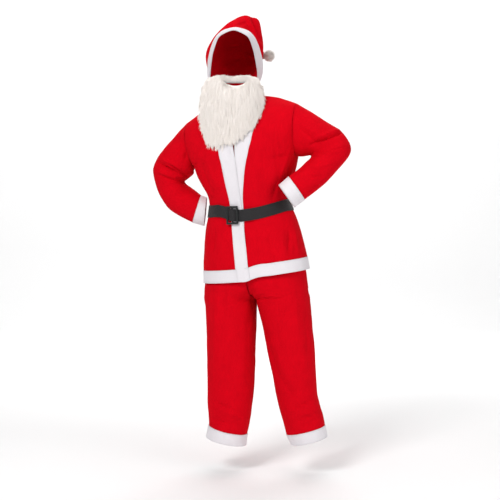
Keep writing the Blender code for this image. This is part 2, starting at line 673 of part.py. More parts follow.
def lifted_waist(points, front):
    """Trouser points raised as the jacket's waist is."""
    p = torso(points)
    p[..., 2] += waist_rise(p[..., 0], p[..., 2], front)
    return body(p)


def build_trousers(q):
    cols = 8
    for s, side in SIDE.items():
        rows = []
        for z, a, bf, bb, k, shift in HIPS:
            rows.append([*body((side * a + shift, 0, z)), *body((side * 0.45 + shift, 0, z)), bf, bb, k])
        rows += [[*row, 0.5] for row in LEG[s]]
        rows = smooth(rows, 27)
        rows[:, 8] = np.clip(rows[:, 8], 0.5, 1.0)
        halves = [trouser_row(r[0:3], r[3:6], r[6], r[7], r[8], cols) for r in rows]
        halves = [[lifted_waist(h, front) for h, front in zip(half, (True, False))] for half in halves]
        out = rows[:, None, 3:6] * 0.7 + rows[:, None, 0:3] * 0.3
        front = Skin(np.array([h[0] for h in halves]), outward=out)
        back = Skin(np.array([h[1] for h in halves]), outward=out)
        front.crease("trousers")
        share(front.n[:, 0], back.n[:, 0])
        below = int(np.argmax(rows[:, 8] < 0.52))
        share(front.n[below:, -1], back.n[below:, -1])
        back.p[below:, -1] = front.p[below:, -1]
        back.p[:, 0] = front.p[:, 0]
        band_rows = smooth(LEG_BAND[s], 4)
        band_halves = [trouser_row(r[0:3], r[3:6], r[6], r[7], 0.5, cols) for r in band_rows]
        loop = np.array([np.concatenate([h[0], h[1][1:-1][::-1]]) for h in band_halves])
        band = Skin(loop, closed=True)
        end = np.concatenate([front.p[-1], back.p[-1, 1:-1][::-1]])
        band.p[0] = end
        ends = band.n[0].copy()
        front.n[-1] = ends[:cols]
        back.n[-1] = np.concatenate([ends[:1], ends[cols:][::-1], ends[cols - 1:cols]])
        for name, skin in (("trouser_front_" + s, front), ("trouser_back_" + s, back)):
            inset(skin, first=0.22, last=0.22, top=SEAM / 2)
            wall(name, skin, CLOTH, RED)
        inset(band, low=SEAM / 2)
        wall("leg_band_" + s, band.lifted(PROUD), PLUSH, WHITE, 0.95, 0.6)

    loop = belt_line(q)
    loop.p, loop.n, loop.closed = loop.p[:, :-1], loop.n[:, :-1], True
    wall("waistband", loop.lifted(-CLOTH - SEAM), 2.0, RED)


def hat_ring(edge, count):
    """A closed ring from a half table that runs front to nape, starting at the front."""
    half = smooth(edge, count // 2 + 1)
    left = [(x + w, y, z) for x, w, y, z in half]
    right = [(x - w, y, z) for x, w, y, z in half[1:-1][::-1]]
    return np.array(left + right)


def build_hat():
    count = 26
    face, seam = hat_ring(FACE_EDGE, count), hat_ring(CROWN_EDGE, count)
    out = unit(seam - np.array([-7, 20, 110])) * 3.0
    trim = Skin(np.array([face, face * 0.5 + seam * 0.5 + out, seam]), closed=True)
    rings = []
    for xt, yt, zt, xb, yb, zb, wide, heading in smooth(CROWN, 12):
        top, low = np.array([xt, yt, zt]), np.array([xb, yb, zb])
        middle, half = (top + low) / 2, (top - low) / 2
        side = np.array([math.cos(math.radians(heading)), math.sin(math.radians(heading)), 0])
        side = unit(side - half * np.dot(side, half) / np.dot(half, half))
        turn = np.arange(count) * 2 * math.pi / count
        pinch = np.sin(turn) * (1 - 0.42 * np.clip(np.cos(turn), 0, 1) ** 1.3)
        rings.append(middle + half * np.cos(turn)[:, None] + side * wide * pinch[:, None])
    crown = Skin(np.array([seam] + rings), closed=True)
    share(crown.n[0], trim.n[-1])
    inset(crown, low=SEAM)
    wall("hat_crown", crown, CLOTH, RED)
    wall("hat_trim", trim.lifted(PROUD), PLUSH, WHITE, 0.95, 0.6)

    x, y, z, r = POMPOM
    points = [(x, y, z - r)]
    bands, segments = 9, 18
    for i in range(1, bands):
        lift = -math.pi / 2 + math.pi * i / bands
        for j in range(segments):
            turn = 2 * math.pi * j / segments
            points.append((x + r * math.cos(lift) * math.cos(turn), y + r * math.cos(lift) * math.sin(turn),
                           z + r * math.sin(lift)))
    points.append((x, y, z + r))
    last = len(points) - 1
    faces = [(0, 1 + (j + 1) % segments, 1 + j) for j in range(segments)]
    for i in range(bands - 2):
        a, b = 1 + i * segments, 1 + (i + 1) * segments
        faces += [(a + j, a + (j + 1) % segments, b + (j + 1) % segments, b + j) for j in range(segments)]
    top = last - segments
    faces += [(top + j, top + (j + 1) % segments, last) for j in range(segments)]
    solid("hat_pompom", points, faces, WHITE, 0.95, 0.6)


def beard_y(x, z):
    """Depth of the beard's back surface."""
    table = np.array(BEARD_BACK, float)[::-1]
    y, slope, back, middle = (np.interp(z, table[:, 0], table[:, k]) for k in range(1, 5))
    return y + slope * x + back * (np.abs(x - middle) / 92) ** 2.2


def build_beard():
    """Pile and backing as one wall from the mouth slit out to the edge."""
    count, steps = 46, 7
    edge = np.array(BEARD_EDGE, float)
    lengths = np.linalg.norm(np.diff(np.vstack([edge, edge[:1]]), axis=0), axis=1)
    run = np.concatenate([[0], np.cumsum(lengths)])
    loop = np.vstack([edge, edge[:1]])
    at = np.linspace(0, run[-1], count, endpoint=False)
    outline = np.stack([np.interp(at, run, loop[:, k]) for k in range(2)], 1)
    cx, cz, wide, high, sag = MOUTH
    angle = np.unwrap(np.arctan2(outline[:, 1] - cz, outline[:, 0] - cx))
    slit = np.stack([cx + wide * np.cos(angle), cz + (high - sag * np.sin(angle)) * np.sin(angle)], 1)
    grid = []
    for i in range(steps):
        f = (i / (steps - 1)) ** 1.15
        grid.append(slit * (1 - f) + outline * f)
    plan = np.array(grid)
    back = np.stack([plan[..., 0], beard_y(plan[..., 0], plan[..., 1]), plan[..., 1]], -1)
    fall = np.array([0.45] + [1.0] * (steps - 2) + [0.5])[:, None]
    front = back.copy()
    front[..., 1] -= BEARD_WALL * fall * np.clip(1.3 - 0.002 * (plan[..., 1] + 40), 0.9, 1.6)
    points = np.concatenate([front.reshape(-1, 3), back.reshape(-1, 3)])
    far = steps * count
    faces = []
    for i in range(steps - 1):
        for j in range(count):
            k = (j + 1) % count
            faces.append((i * count + j, i * count + k, (i + 1) * count + k, (i + 1) * count + j))
            faces.append((far + (i + 1) * count + j, far + (i + 1) * count + k,
                          far + i * count + k, far + i * count + j))
    for j in range(count):
        k = (j + 1) % count
        faces.append((k, j, far + j, far + k))
        a = (steps - 1) * count
        faces.append((a + j, a + k, far + a + k, far + a + j))
    solid("beard", points, faces, BEARD_WHITE, 0.95, 0.5)

    path = smooth(ELASTIC, 27)
    low = np.stack([path[:, 0], path[:, 1], path[:, 2] - 4], -1)
    top = np.stack([path[:, 0], path[:, 1], path[:, 2] + 4], -1)
    for edge in (low, top):
        edge[[0, -1], 1] = beard_y(edge[[0, -1], 0], edge[[0, -1], 2]) + 1.1
    skin = Skin(np.array([low, top]), outward=np.array([-13.0, 20.0, 55.0]))
    wall("beard_elastic", skin, 1.0, WHITE, 0.9, 0.0)


def main():
    for old in list(bpy.data.objects):
        bpy.data.objects.remove(old, do_unlink=True)
    quarters, armholes = build_jacket()
    for side_name in SIDE:
        build_sleeve(side_name, armholes[side_name])
    build_belt(quarters)
    build_trousers(quarters)
    build_hat()
    build_beard()


main()
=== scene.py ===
"""Looks of a child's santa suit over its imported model, laid out as a Blender add-on and run as a script.

Tables are in millimetres in the model's frame: +X is the wearer's left, the front looks to -Y, +Z is up.
"""
import json
import math
import bmesh
import bpy
import numpy as np
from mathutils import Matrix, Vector, kdtree, noise
from mathutils.bvhtree import BVHTree


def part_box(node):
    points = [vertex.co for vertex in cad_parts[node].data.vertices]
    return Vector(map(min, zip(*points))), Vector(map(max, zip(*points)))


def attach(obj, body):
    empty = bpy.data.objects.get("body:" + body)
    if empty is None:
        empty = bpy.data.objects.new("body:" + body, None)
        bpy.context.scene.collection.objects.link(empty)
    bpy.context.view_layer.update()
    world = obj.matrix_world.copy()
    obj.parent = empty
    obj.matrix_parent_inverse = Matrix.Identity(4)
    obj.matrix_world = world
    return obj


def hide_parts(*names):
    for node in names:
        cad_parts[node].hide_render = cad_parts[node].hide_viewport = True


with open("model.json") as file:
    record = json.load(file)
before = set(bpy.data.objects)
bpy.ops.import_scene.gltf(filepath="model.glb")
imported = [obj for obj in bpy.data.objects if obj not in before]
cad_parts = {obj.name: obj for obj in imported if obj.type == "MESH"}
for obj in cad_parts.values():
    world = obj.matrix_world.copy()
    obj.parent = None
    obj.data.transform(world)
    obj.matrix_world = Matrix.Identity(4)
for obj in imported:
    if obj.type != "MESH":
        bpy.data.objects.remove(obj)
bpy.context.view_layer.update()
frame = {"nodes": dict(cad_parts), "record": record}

bl_info = {
    "name": "Santa Suit Looks",
    "version": (1, 0, 0),
    "blender": (4, 5, 0),
    "location": "3D View > Sidebar > Santa Suit",
    "description": "Dresses the packed santa suit in fleece, plush, pile and webbing, on a pale studio stage",
    "category": "Add Mesh",
}

MM = 0.001
SLOT_COLOUR = {row["slot"]: row["base_color"] for row in frame["record"]["materials"]}

# folds of each garment: x0, z0, x1, z1, half width, height, side (-1 front, 1 back)
FOLDS = {
    "jacket": (
        (168, -156, 138, -232, 8, -3.4, -1), (150, -150, 112, -250, 9, 2.4, -1),
        (124, -206, 100, -292, 7, -2.6, -1), (-104, -192, -72, -272, 6, -3.0, -1),
        (-90, -176, -50, -262, 8, 2.0, -1), (-60, -150, -34, -240, 8, -1.6, -1),
        (70, -96, 82, -250, 10, -1.8, -1), (92, -70, 106, -230, 9, 1.8, -1),
        (114, -50, 128, -170, 8, -1.6, -1), (50, -120, 60, -290, 9, 1.4, -1),
        (152, -352, 146, -452, 7, -3.6, -1), (132, -346, 128, -440, 8, 2.6, -1),
        (166, -372, 172, -440, 7, 2.2, -1), (-62, -372, -70, -440, 6, -3.4, -1),
        (-78, -362, -88, -450, 7, 2.4, -1), (-90, -352, -86, -430, 5, -2.6, -1),
        (36, -372, 44, -430, 8, 1.6, -1), (84, -362, 100, -428, 8, -2.0, -1),
        (60, -366, 70, -452, 9, 1.6, -1), (-34, -366, -42, -440, 8, 1.4, -1),
        (-70, -96, -98, -160, 8, -2.4, -1), (-52, -84, -76, -150, 9, 1.6, -1),
        (-60, -180, -84, -290, 9, -2.8, 1), (-30, -200, -40, -300, 9, 2.4, 1),
        (60, -190, 84, -296, 10, -2.6, 1), (104, -160, 120, -290, 9, 2.4, 1),
        (20, -214, 24, -304, 8, -2.0, 1), (-50, -352, -66, -470, 9, -3.2, 1),
        (-8, -362, -14, -440, 9, 2.6, 1), (36, -360, 40, -456, 8, -2.4, 1),
        (84, -352, 96, -470, 9, 3.0, 1), (128, -352, 146, -448, 8, -3.0, 1),
        (-80, -80, 40, -120, 16, 2.2, 1), (60, -70, 140, -126, 14, -2.2, 1),
    ),
    "sleeve_left": (
        (206, -136, 306, -97, 6, -6.4, -1), (210, -122, 304, -85, 7, 3.2, -1),
        (178, -86, 226, -134, 7, -3.2, -1), (196, -84, 240, -118, 8, 1.8, -1),
        (228, -160, 300, -142, 6, -2.4, -1), (206, -200, 268, -188, 8, 2.0, -1),
        (188, -222, 240, -226, 7, -2.0, -1), (176, -70, 182, -140, 6, -2.6, -1),
        (214, -160, 300, -130, 7, -3.2, 1), (206, -112, 280, -92, 8, 2.6, 1),
        (196, -190, 270, -196, 7, 2.2, 1), (186, -214, 250, -226, 7, -2.0, 1),
    ),
    "sleeve_right": (
        (-238, -178, -166, -218, 6, -6.2, -1), (-200, -184, -140, -230, 6, -5.2, -1),
        (-230, -165, -164, -200, 7, 3.2, -1), (-240, -214, -186, -232, 6, -2.2, -1),
        (-206, -236, -160, -248, 8, 2.0, -1), (-184, -282, -150, -266, 7, -1.8, -1),
        (-132, -100, -152, -180, 8, -2.4, -1), (-152, -96, -176, -160, 9, 1.8, -1),
        (-222, -196, -160, -240, 7, -3.2, 1), (-200, -130, -150, -190, 9, 2.6, 1),
        (-224, -262, -168, -250, 7, -2.4, 1), (-196, -280, -150, -262, 7, 1.8, 1),
    ),
    "trousers": (
        (42, -540, 46, -604, 6, -4.4, -1), (42, -604, 26, -668, 8, -1.6, -1),
        (60, -600, 92, -690, 8, -2.4, -1), (88, -690, 118, -792, 6, -3.6, -1),
        (116, -786, 172, -856, 6, -3.4, -1), (106, -684, 136, -780, 8, 2.6, -1),
        (136, -780, 186, -838, 8, 2.2, -1), (160, -540, 176, -690, 12, 2.4, -1),
        (196, -600, 206, -760, 9, -2.4, -1), (128, -560, 138, -650, 10, -2.0, -1),
        (-58, -560, -64, -760, 11, 2.2, -1), (-36, -540, -42, -660, 9, -1.8, -1),
        (-10, -690, -18, -850, 9, -2.2, -1), (22, -640, 14, -810, 9, 2.0, -1),
        (-70, -868, -6, -894, 7, -3.0, -1), (-40, -894, 28, -924, 7, 2.6, -1),
        (-74, -918, -20, -936, 6, -2.2, -1), (148, -884, 218, -858, 7, -2.8, -1),
        (166, -908, 240, -882, 7, 2.6, -1), (176, -936, 230, -914, 6, -2.0, -1),
        (96, -640, 60, -600, 9, 2.4, 1), (-40, -620, 30, -600, 10, -3.0, 1),
        (110, -700, 176, -730, 9, -3.0, 1), (-70, -720, 0, -742, 9, -2.8, 1),
        (-66, -750, 10, -764, 8, 2.4, 1), (120, -744, 196, -758, 8, 2.4, 1),
        (140, -860, 210, -880, 8, -2.6, 1), (-66, -880, 10, -900, 8, -2.6, 1),
        (40, -560, 42, -600, 9, -3.6, 1), (180, -560, 196, -680, 12, 2.2, 1),
    ),
    "hat": (
        (24, 238, 60, 170, 5, 5.0, -1), (46, 234, 72, 168, 8, -10.0, -1),
        (62, 178, 76, 110, 8, -4.6, -1), (-4, 204, 30, 218, 7, -1.6, -1),
        (-60, 90, 20, 130, 12, -2.8, 1), (-50, 150, 40, 190, 12, 2.6, 1), (-20, 60, 50, 100, 9, 2.4, 1),
        (10, 150, 60, 130, 9, -2.6, 1),
    ),
}
STILL = (-366.0, -302.0)     # heights between which the belt holds jacket and trousers still
STILL_EASE = 26              # height over which that hold fades
# ellipse that hair is combed round at the beard's mouth, its ends lifted by corner_lift
MOUTH = {"x": -5, "z": 38, "half_width": 32, "half_height": 9.5, "under_lip": 6, "corner_lift": 6}

# lamps: name, place, size in metres, power in watts; wall lamps look at the backdrop, all others at the suit
LAMPS = (
    ("key", (-1.5, -2.7, 1.7), 1.2, 98), ("fill", (2.5, -2.4, 0.1), 2.0, 42),
    ("top", (0.2, -0.2, 2.2), 1.6, 22), ("back", (0.4, 2.0, 1.6), 2.4, 44),
    ("wall", (-1.8, 1.7, 2.2), 2.0, 75), ("wall", (1.8, 1.7, 2.2), 2.0, 75),
)
SUIT_MIDDLE = (0.03, 0, -0.4)
FACE_ON = (0.0377, -3.39615, -0.27318)     # the camera's place
TILT = 2.728                               # how far the camera looks down, in degrees


def smoothstep(x, low, high):
    """0 up to low, 1 from high on, and an easy curve between."""
    t = np.clip((x - low) / (high - low), 0, 1)
    return t * t * (3 - 2 * t)


# shader sums

class Value:
    """A socket that can be used in sums, with numbers and with other sockets."""

    def __init__(self, finish, socket):
        self.finish, self.socket = finish, socket

    def sum(self, operation, first, second):
        return self.finish.node("ShaderNodeMath", {"operation": operation}, {0: first, 1: second})

    def __add__(self, other):
        return self.sum("ADD", self, other)

    def __radd__(self, other):
        return self.sum("ADD", other, self)

    def __sub__(self, other):
        return self.sum("SUBTRACT", self, other)

    def __rsub__(self, other):
        return self.sum("SUBTRACT", other, self)

    def __mul__(self, other):
        return self.sum("MULTIPLY", self, other)

    def __rmul__(self, other):
        return self.sum("MULTIPLY", other, self)


class Finish:
    """One material and the nodes that make its surface."""

    def __init__(self, name, roughness, sheen=0.0, sheen_roughness=0.4, sheen_tint=(1, 1, 1), specular=0.3):
        self.material = bpy.data.materials.new(name)
        self.material.use_nodes = True
        self.tree = self.material.node_tree
        self.shader = self.tree.nodes["Principled BSDF"]
        for socket, value in (("Roughness", roughness), ("Sheen Weight", sheen),
                              ("Sheen Roughness", sheen_roughness), ("Sheen Tint", (*sheen_tint, 1)),
                              ("Specular IOR Level", specular)):
            self.shader.inputs[socket].default_value = value

    def node(self, kind, settings=None, sockets=None, out=0):
        """Add a node, set its settings, fill its sockets, and give one of its outputs."""
        made = self.tree.nodes.new(kind)
        for key, value in (settings or {}).items():
            if key == "stops":
                for stop, (place, colour) in zip(made.color_ramp.elements, value):
                    stop.position, stop.color = place, colour
            else:
                setattr(made, key, value)
        for key, value in (sockets or {}).items():
            if isinstance(value, Value):
                self.tree.links.new(value.socket, made.inputs[key])
            else:
                made.inputs[key].default_value = value
        return Value(self, made.outputs[out])

    def place(self, stretch=(1, 1, 1)):
        """The object's own coordinates, stretched."""
        where = self.node("ShaderNodeTexCoord", out="Object")
        return self.node("ShaderNodeMapping", None, {"Vector": where, "Scale": stretch})

    def grain(self, size, detail=3.0, stretch=(1, 1, 1), rough=0.6):
        """Noise from 0 to 1 whose lumps are size metres apart."""
        return self.node("ShaderNodeTexNoise", None, {"Vector": self.place(stretch), "Scale": 1 / size,
                                                      "Detail": detail, "Roughness": rough})

    def wave(self, value, pitch):
        """Even ribs from 0 to 1, pitch metres apart."""
        turn = self.node("ShaderNodeMath", {"operation": "SINE"}, {0: value * (2 * math.pi / pitch)})
        return turn * 0.5 + 0.5

    def attribute(self, name):
        return self.node("ShaderNodeAttribute", {"attribute_name": name}, out="Fac")

    def blend(self, amount, low, high):
        """A colour between two others."""
        wrap = [v if isinstance(v, Value) else (*v, 1) for v in (low, high)]
        return self.node("ShaderNodeMix", {"data_type": "RGBA", "clamp_factor": True},
                         {0: amount, 6: wrap[0], 7: wrap[1]}, out=2)

    def bump(self, height, distance, strength=1.0):
        """A normal that follows a height between 0 and 1, distance metres deep."""
        return self.node("ShaderNodeBump", None, {"Height": height, "Distance": distance,
                                                  "Strength": strength})

    def wear(self, **links):
        """Join colour, roughness and normal to the shader."""
        names = {"colour": "Base Color", "roughness": "Roughness", "normal": "Normal"}
        for key, value in links.items():
            self.tree.links.new(value.socket, self.shader.inputs[names[key]])
        return self.material


def shade(colour, amount):
    """A colour made darker or lighter."""
    return tuple(min(1.0, c * amount) for c in colour)


def fleece(look):
    """Thin brushed red fleece: short nap, cloudy where it was stroked, with painted shade in the seams."""
    finish = Finish("red_fleece", 0.9, 0.02, 0.5, (1.0, 0.1, 0.1), 0.03)
    fibre, lump, cloud = finish.grain(0.0009, 4), finish.grain(0.0045, 3), finish.grain(0.034, 3)
    tone = fibre * 0.45 + lump * 0.3 + cloud * 0.5 - 0.12
    red = tuple(look.fleece_red)
    colour = finish.blend(tone, shade(red, 0.78), shade(red, 1.2))
    # painted shade: the red darkens towards half its brightness near each piece's edge, where the seams fall
    # into shadow
    colour = finish.blend(finish.attribute("seam") * 0.3, colour, shade(red, 0.5))
    height = fibre * 0.35 + lump * 0.65 + finish.attribute("seam") * finish.grain(0.007, 2) * 1.6
    return finish.wear(colour=colour, normal=finish.bump(height, look.nap))


def plush(look):
    """Smooth white plush felt with a faint cool tone and painted shade near its seams."""
    finish = Finish("white_plush", 0.9, 0.1, 0.5, (0.95, 0.95, 1.0), 0.1)
    fibre, lump, cloud = finish.grain(0.0011, 4), finish.grain(0.0038, 3), finish.grain(0.05, 2)
    tone = fibre * 0.4 + lump * 0.35 + cloud * 0.35
    white = tuple(look.trim_white)
    colour = finish.blend(tone, shade(white, 0.88), shade(white, 1.06))
    # painted shade: the white darkens near each piece's edge, where the seams fall into shadow
    colour = finish.blend(finish.attribute("seam") * 0.35, colour, shade(white, 0.72))
    height = fibre * 0.4 + lump * 0.8
    return finish.wear(colour=colour, normal=finish.bump(height, look.nap * 1.2))


def pile_finish(name, white, root):
    """Fine wavy pile, with painted shade that makes it a little darker between its locks."""
    finish = Finish(name, 0.6, 0.1, 0.4, (1, 1, 1), 0.2)
    lock, hair = finish.grain(0.008, 2, (1, 1, 0.3)), finish.grain(0.0016, 3, (1, 1, 0.12))
    tone = lock * 0.5 + hair * 0.6 - 0.05
    # painted shade: the colour falls from the tip white to the shaded root colour in the noise streaks
    # between locks
    colour = finish.blend(tone, root, white)
    return finish.wear(colour=colour, normal=finish.bump(hair, 0.0002))


def webbing(look):
    """Charcoal webbing with fine ribs along the belt, crossed by its weft."""
    finish = Finish("charcoal_webbing", 0.7, 0.15, 0.4, (1, 1, 1), 0.3)
    run, lift = finish.attribute("run"), finish.attribute("lift")
    ribs, weft = finish.wave(run + lift * 0.8, look.rib_pitch), finish.wave(lift, look.rib_pitch * 1.4)
    weave = ribs * 0.5 + weft * 0.5
    fibre = finish.grain(0.0009, 3)
    dark = tuple(look.webbing_charcoal)
    # partly painted shade: the charcoal is darker in the rib and weft hollows and lighter on their tops,
    # following the weave height; the fibre noise is the yarn's own tone
    colour = finish.blend(weave * 0.5 + fibre * 0.5, shade(dark, 0.6), shade(dark, 1.7))
    return finish.wear(colour=colour, normal=finish.bump(weave * 0.7 + fibre * 0.5, 0.0005))


def plastic(look):
    """Black moulded plastic with a fine spark texture and a faint cloudy tone."""
    finish = Finish("black_plastic", 0.34, 0.0, specular=0.5)
    spark, cloud = finish.grain(0.0006, 2), finish.grain(0.012, 3)
    dark = tuple(look.buckle_black)
    colour = finish.blend(cloud * 0.6 + spark * 0.4, dark, shade(dark, 2.2))
    return finish.wear(colour=colour, roughness=cloud * 0.2 + 0.26, normal=finish.bump(spark, 0.0001))


def elastic_finish():
    """White elastic with fine ribs along it."""
    finish = Finish("white_elastic", 0.75, 0.1)
    rib = finish.wave(finish.attribute("lift"), 0.0011)
    white = SLOT_COLOUR["white_elastic"]
    # painted shade: the white is darker in the hollows between the ribs, following the rib height
    colour = finish.blend(rib, shade(white, 0.8), white)
    return finish.wear(colour=colour, normal=finish.bump(rib, 0.0003))


# shapes

def merged(node):
    """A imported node's mesh with its triangles merged and joined to squares."""
    mesh = bmesh.new()
    mesh.from_mesh(frame["nodes"][node].data)
    bmesh.ops.remove_doubles(mesh, verts=mesh.verts, dist=0.00002)
    bmesh.ops.join_triangles(mesh, faces=mesh.faces, angle_face_threshold=math.radians(40),
                             angle_shape_threshold=math.pi)
    return mesh


def outer_layer(node, rim=0.0):
    """The outer side of a cloth wall, without its inside, its rims and faces that have an edge under rim."""
    mesh = merged(node)
    todo, sides = set(mesh.faces), []
    while todo:
        first = todo.pop()
        side, queue = [first], [first]
        while queue:
            for edge in queue.pop().edges:
                if len(edge.link_faces) == 2 and edge.calc_face_angle() < math.radians(50):
                    near = [face for face in edge.link_faces if face in todo]
                    todo.difference_update(near)
                    side += near
                    queue += near
        sides.append(side)

    def outwards(side):
        area = sum(face.calc_area() for face in side)
        centre = sum((face.calc_center_median() * face.calc_area() for face in side), Vector()) / area
        return sum((face.calc_center_median() - centre).dot(face.normal) * face.calc_area() for face in side)

    largest = max(sum(f.calc_area() for f in side) for side in sides)
    keep = {f for side in sides if sum(f.calc_area() for f in side) > 0.2 * largest and outwards(side) > 0
            for f in side}
    if rim:
        keep = {f for f in keep if min(e.calc_length() for e in f.edges) > rim}
    bmesh.ops.delete(mesh, geom=[f for f in mesh.faces if f not in keep], context="FACES")
    return mesh


def places(data):
    """A mesh's points."""
    out = np.empty(len(data.vertices) * 3)
    data.vertices.foreach_get("co", out)
    return out.reshape(-1, 3)


def put(data, points):
    """Move a mesh's points."""
    data.vertices.foreach_set("co", points.ravel())
    data.update()


def normals(data):
    """Which way a mesh faces at each point."""
    out = np.empty(len(data.vertices) * 3)
    data.vertex_normals.foreach_get("vector", out)
    return out.reshape(-1, 3)


def through_points(mesh, levels, crease_over=None):
    """Subdivide so that the smooth surface passes through the mesh's own points."""
    data = bpy.data.meshes.new("guide")
    if crease_over is not None:
        layer = mesh.edges.layers.float.new("crease_edge")
        for edge in mesh.edges:
            if len(edge.link_faces) == 2 and edge.calc_face_angle() > crease_over:
                edge[layer] = 1.0
    mesh.to_mesh(data)
    mesh.free()
    guide = bpy.data.objects.new("guide", data)
    bpy.context.scene.collection.objects.link(guide)
    smooth = guide.modifiers.new("Smooth", "SUBSURF")
    smooth.levels = smooth.render_levels = levels
    smooth.boundary_smooth = "PRESERVE_CORNERS"
    want = places(data)
    for _ in range(4):
        graph = bpy.context.evaluated_depsgraph_get()
        got = places(guide.evaluated_get(graph).data)[:len(want)]
        put(data, places(data) + want - got)
        guide.data = data
    graph = bpy.context.evaluated_depsgraph_get()
    fine = bpy.data.meshes.new_from_object(guide.evaluated_get(graph))
    bpy.data.objects.remove(guide)
    bpy.data.meshes.remove(data)
    return fine


def fold(data, garment, waviness, depth):
    """Lay the table's folds on a surface, and a slow unevenness where nothing holds it."""
    points, out = places(data) / MM, normals(data)
    rise = np.zeros(len(points))
    for x0, z0, x1, z1, reach, height, side in FOLDS.get(garment, ()):
        start, way = np.array([x0, z0], float), np.array([x1 - x0, z1 - z0], float)
        offset = points[:, [0, 2]] - start
        t = np.clip(offset @ way / (way @ way), 0, 1)
        away = np.linalg.norm(offset - t[:, None] * way, axis=1) / reach
        shape = np.cos(np.clip(away, 0, 1) * math.pi / 2) ** 2 * np.sin(0.3 + 2.5 * t)
        rise += depth * height * shape * np.clip(side * out[:, 1] * 1.8, 0, 1)
    slow = np.array([noise.noise(Vector(p) / 46.0) + 0.5 * noise.noise(Vector(p) / 21.0) for p in points])
    rise += slow * waviness / MM
    if garment in ("jacket", "trousers"):
        low, high = STILL
        held = (smoothstep(points[:, 2], high, high + STILL_EASE)
                + smoothstep(-points[:, 2], -low, -low + STILL_EASE))
        rise *= np.clip(held, 0, 1)
    put(data, (points + out * rise[:, None]) * MM)


def mark_seams(data, reach):
    """Write how near each point is to the edge of its piece, 1 on the edge and 0 from reach on."""
    mesh = bmesh.new()
    mesh.from_mesh(data)
    edge = [v.co.copy() for v in mesh.verts if v.is_boundary]
    tree = kdtree.KDTree(len(edge))
    for i, co in enumerate(edge):
        tree.insert(co, i)
    tree.balance()
    near = [1 - min(tree.find(v.co)[2] / reach, 1) if edge else 0.0 for v in mesh.verts]
    mesh.free()
    # this seam nearness drives both the seam puckers in the bump and the painted seam shade in the colour
    data.attributes.new("seam", "FLOAT", "POINT").data.foreach_set("value", near)


def finished(name, data, material, slot, *nodes):
    """Link a mesh as one piece that rides on the suit and stands for its nodes."""
    for polygon in data.polygons:
        polygon.use_smooth = True
        polygon.material_index = 0
    data.materials.clear()
    data.materials.append(material)
    thing = bpy.data.objects.new(name, data)
    bpy.context.scene.collection.objects.link(thing)
    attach(thing, "root")
    if nodes:
        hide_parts(*nodes)
    return thing


def give_wall(thing, wall, rounding=0.35):
    """Thicken a one-layer surface inwards and turn its edges."""
    solid = thing.modifiers.new("Wall", "SOLIDIFY")
    solid.thickness, solid.offset = wall, -1.0
    edge = thing.modifiers.new("Turned edge", "BEVEL")
    edge.width, edge.segments, edge.profile = wall * rounding, 2, 0.5
    edge.limit_method, edge.angle_limit = "ANGLE", math.radians(55)
    return thing


def cloth(node, garment, wall, material, slot, look, rim=0.0, levels=2):
    """A thin shell on a cloth node's form."""
    data = through_points(outer_layer(node, rim), levels)
    fold(data, garment, look.waviness, look.fold_depth)
    mark_seams(data, look.seam_reach)
    thing = finished(node + "_cloth", data, material, slot, node)
    give_wall(thing, wall)
    return thing


def along_strip(data, low, top):
    """Write run, the length along a strap's surface, and lift, the height across it, for its weave."""
    points = places(data)
    middle = points.mean(0)
    angle = np.arctan2(points[:, 1] - middle[1], points[:, 0] - middle[0])
    reach = np.hypot(points[:, 0] - middle[0], points[:, 1] - middle[1]).mean()
    data.attributes.new("run", "FLOAT", "POINT").data.foreach_set("value", (angle * reach).astype(np.float32))
    tilt = (top - low) / max(points[:, 0].max() - points[:, 0].min(), 1e-6)
    lift = points[:, 2] - tilt * points[:, 0]
    data.attributes.new("lift", "FLOAT", "POINT").data.foreach_set("value", lift.astype(np.float32))


# pile

def ribbons(name, paths, across, widths, outward, material, slot):
    """Hairs as tapered ribbons, each extruded step by step from a short edge and lit by the form under it."""
    mesh = bmesh.new()
    number, side = mesh.verts.layers.int.new("hair"), mesh.verts.layers.int.new("side")
    left, right = paths - across * widths[..., None], paths + across * widths[..., None]
    sides = {-1: left, 1: right}
    front = []
    for hair in range(len(paths)):
        pair = []
        for which in (-1, 1):
            v = mesh.verts.new(sides[which][hair, 0])
            v[number], v[side] = hair, which
            pair.append(v)
        front.append(mesh.edges.new(pair))
    for step in range(1, paths.shape[1]):
        made = bmesh.ops.extrude_edge_only(mesh, edges=front)["geom"]
        fresh = {v for v in made if isinstance(v, bmesh.types.BMVert)}
        for v in fresh:
            v.co = sides[v[side]][v[number], step]
        front = [e for e in made if isinstance(e, bmesh.types.BMEdge) and all(v in fresh for v in e.verts)]
    lit = [Vector(outward[v[number]]) for v in mesh.verts]
    mesh.verts.index_update()
    mesh.normal_update()
    for face in mesh.faces:
        if face.normal.dot(lit[face.verts[0].index]) < 0:
            face.normal_flip()
    data = bpy.data.meshes.new(name)
    mesh.to_mesh(data)
    mesh.free()
    thing = finished(name, data, material, slot)
    data.normals_split_custom_set_from_vertices(lit)
    return thing


class BeardForm:
    """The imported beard's front surface, asked by place across and height in millimetres."""

    def __init__(self):
        mesh = merged("beard")
        self.tree = BVHTree.FromBMesh(mesh)
        faces = [f for f in mesh.faces if f.normal.y < 0.1]
        self.area = np.array([f.calc_area() for f in faces])
        self.corners = [[v.co.copy() for v in f.verts] for f in faces]
        mesh.free()

    def depth(self, x, z):
        """Front surface's y and whether the place is on the beard."""
        hit = self.tree.ray_cast(Vector((x * MM, -0.4, z * MM)), Vector((0, 1, 0)))[0]
        if hit:
            return hit.y / MM, True
        near = self.tree.find_nearest(Vector((x * MM, -0.1, z * MM)))[0]
        return near.y / MM, False

    def roots(self, count, rng):
        """Places across and height, spread evenly over the surface by chance."""
        out = []
        for i in rng.choice(len(self.area), count, p=self.area / self.area.sum()):
            weights = rng.dirichlet(np.ones(len(self.corners[i])))
            out.append([sum(w * c[k] for w, c in zip(weights, self.corners[i])) / MM for k in (0, 2)])
        return np.array(out)


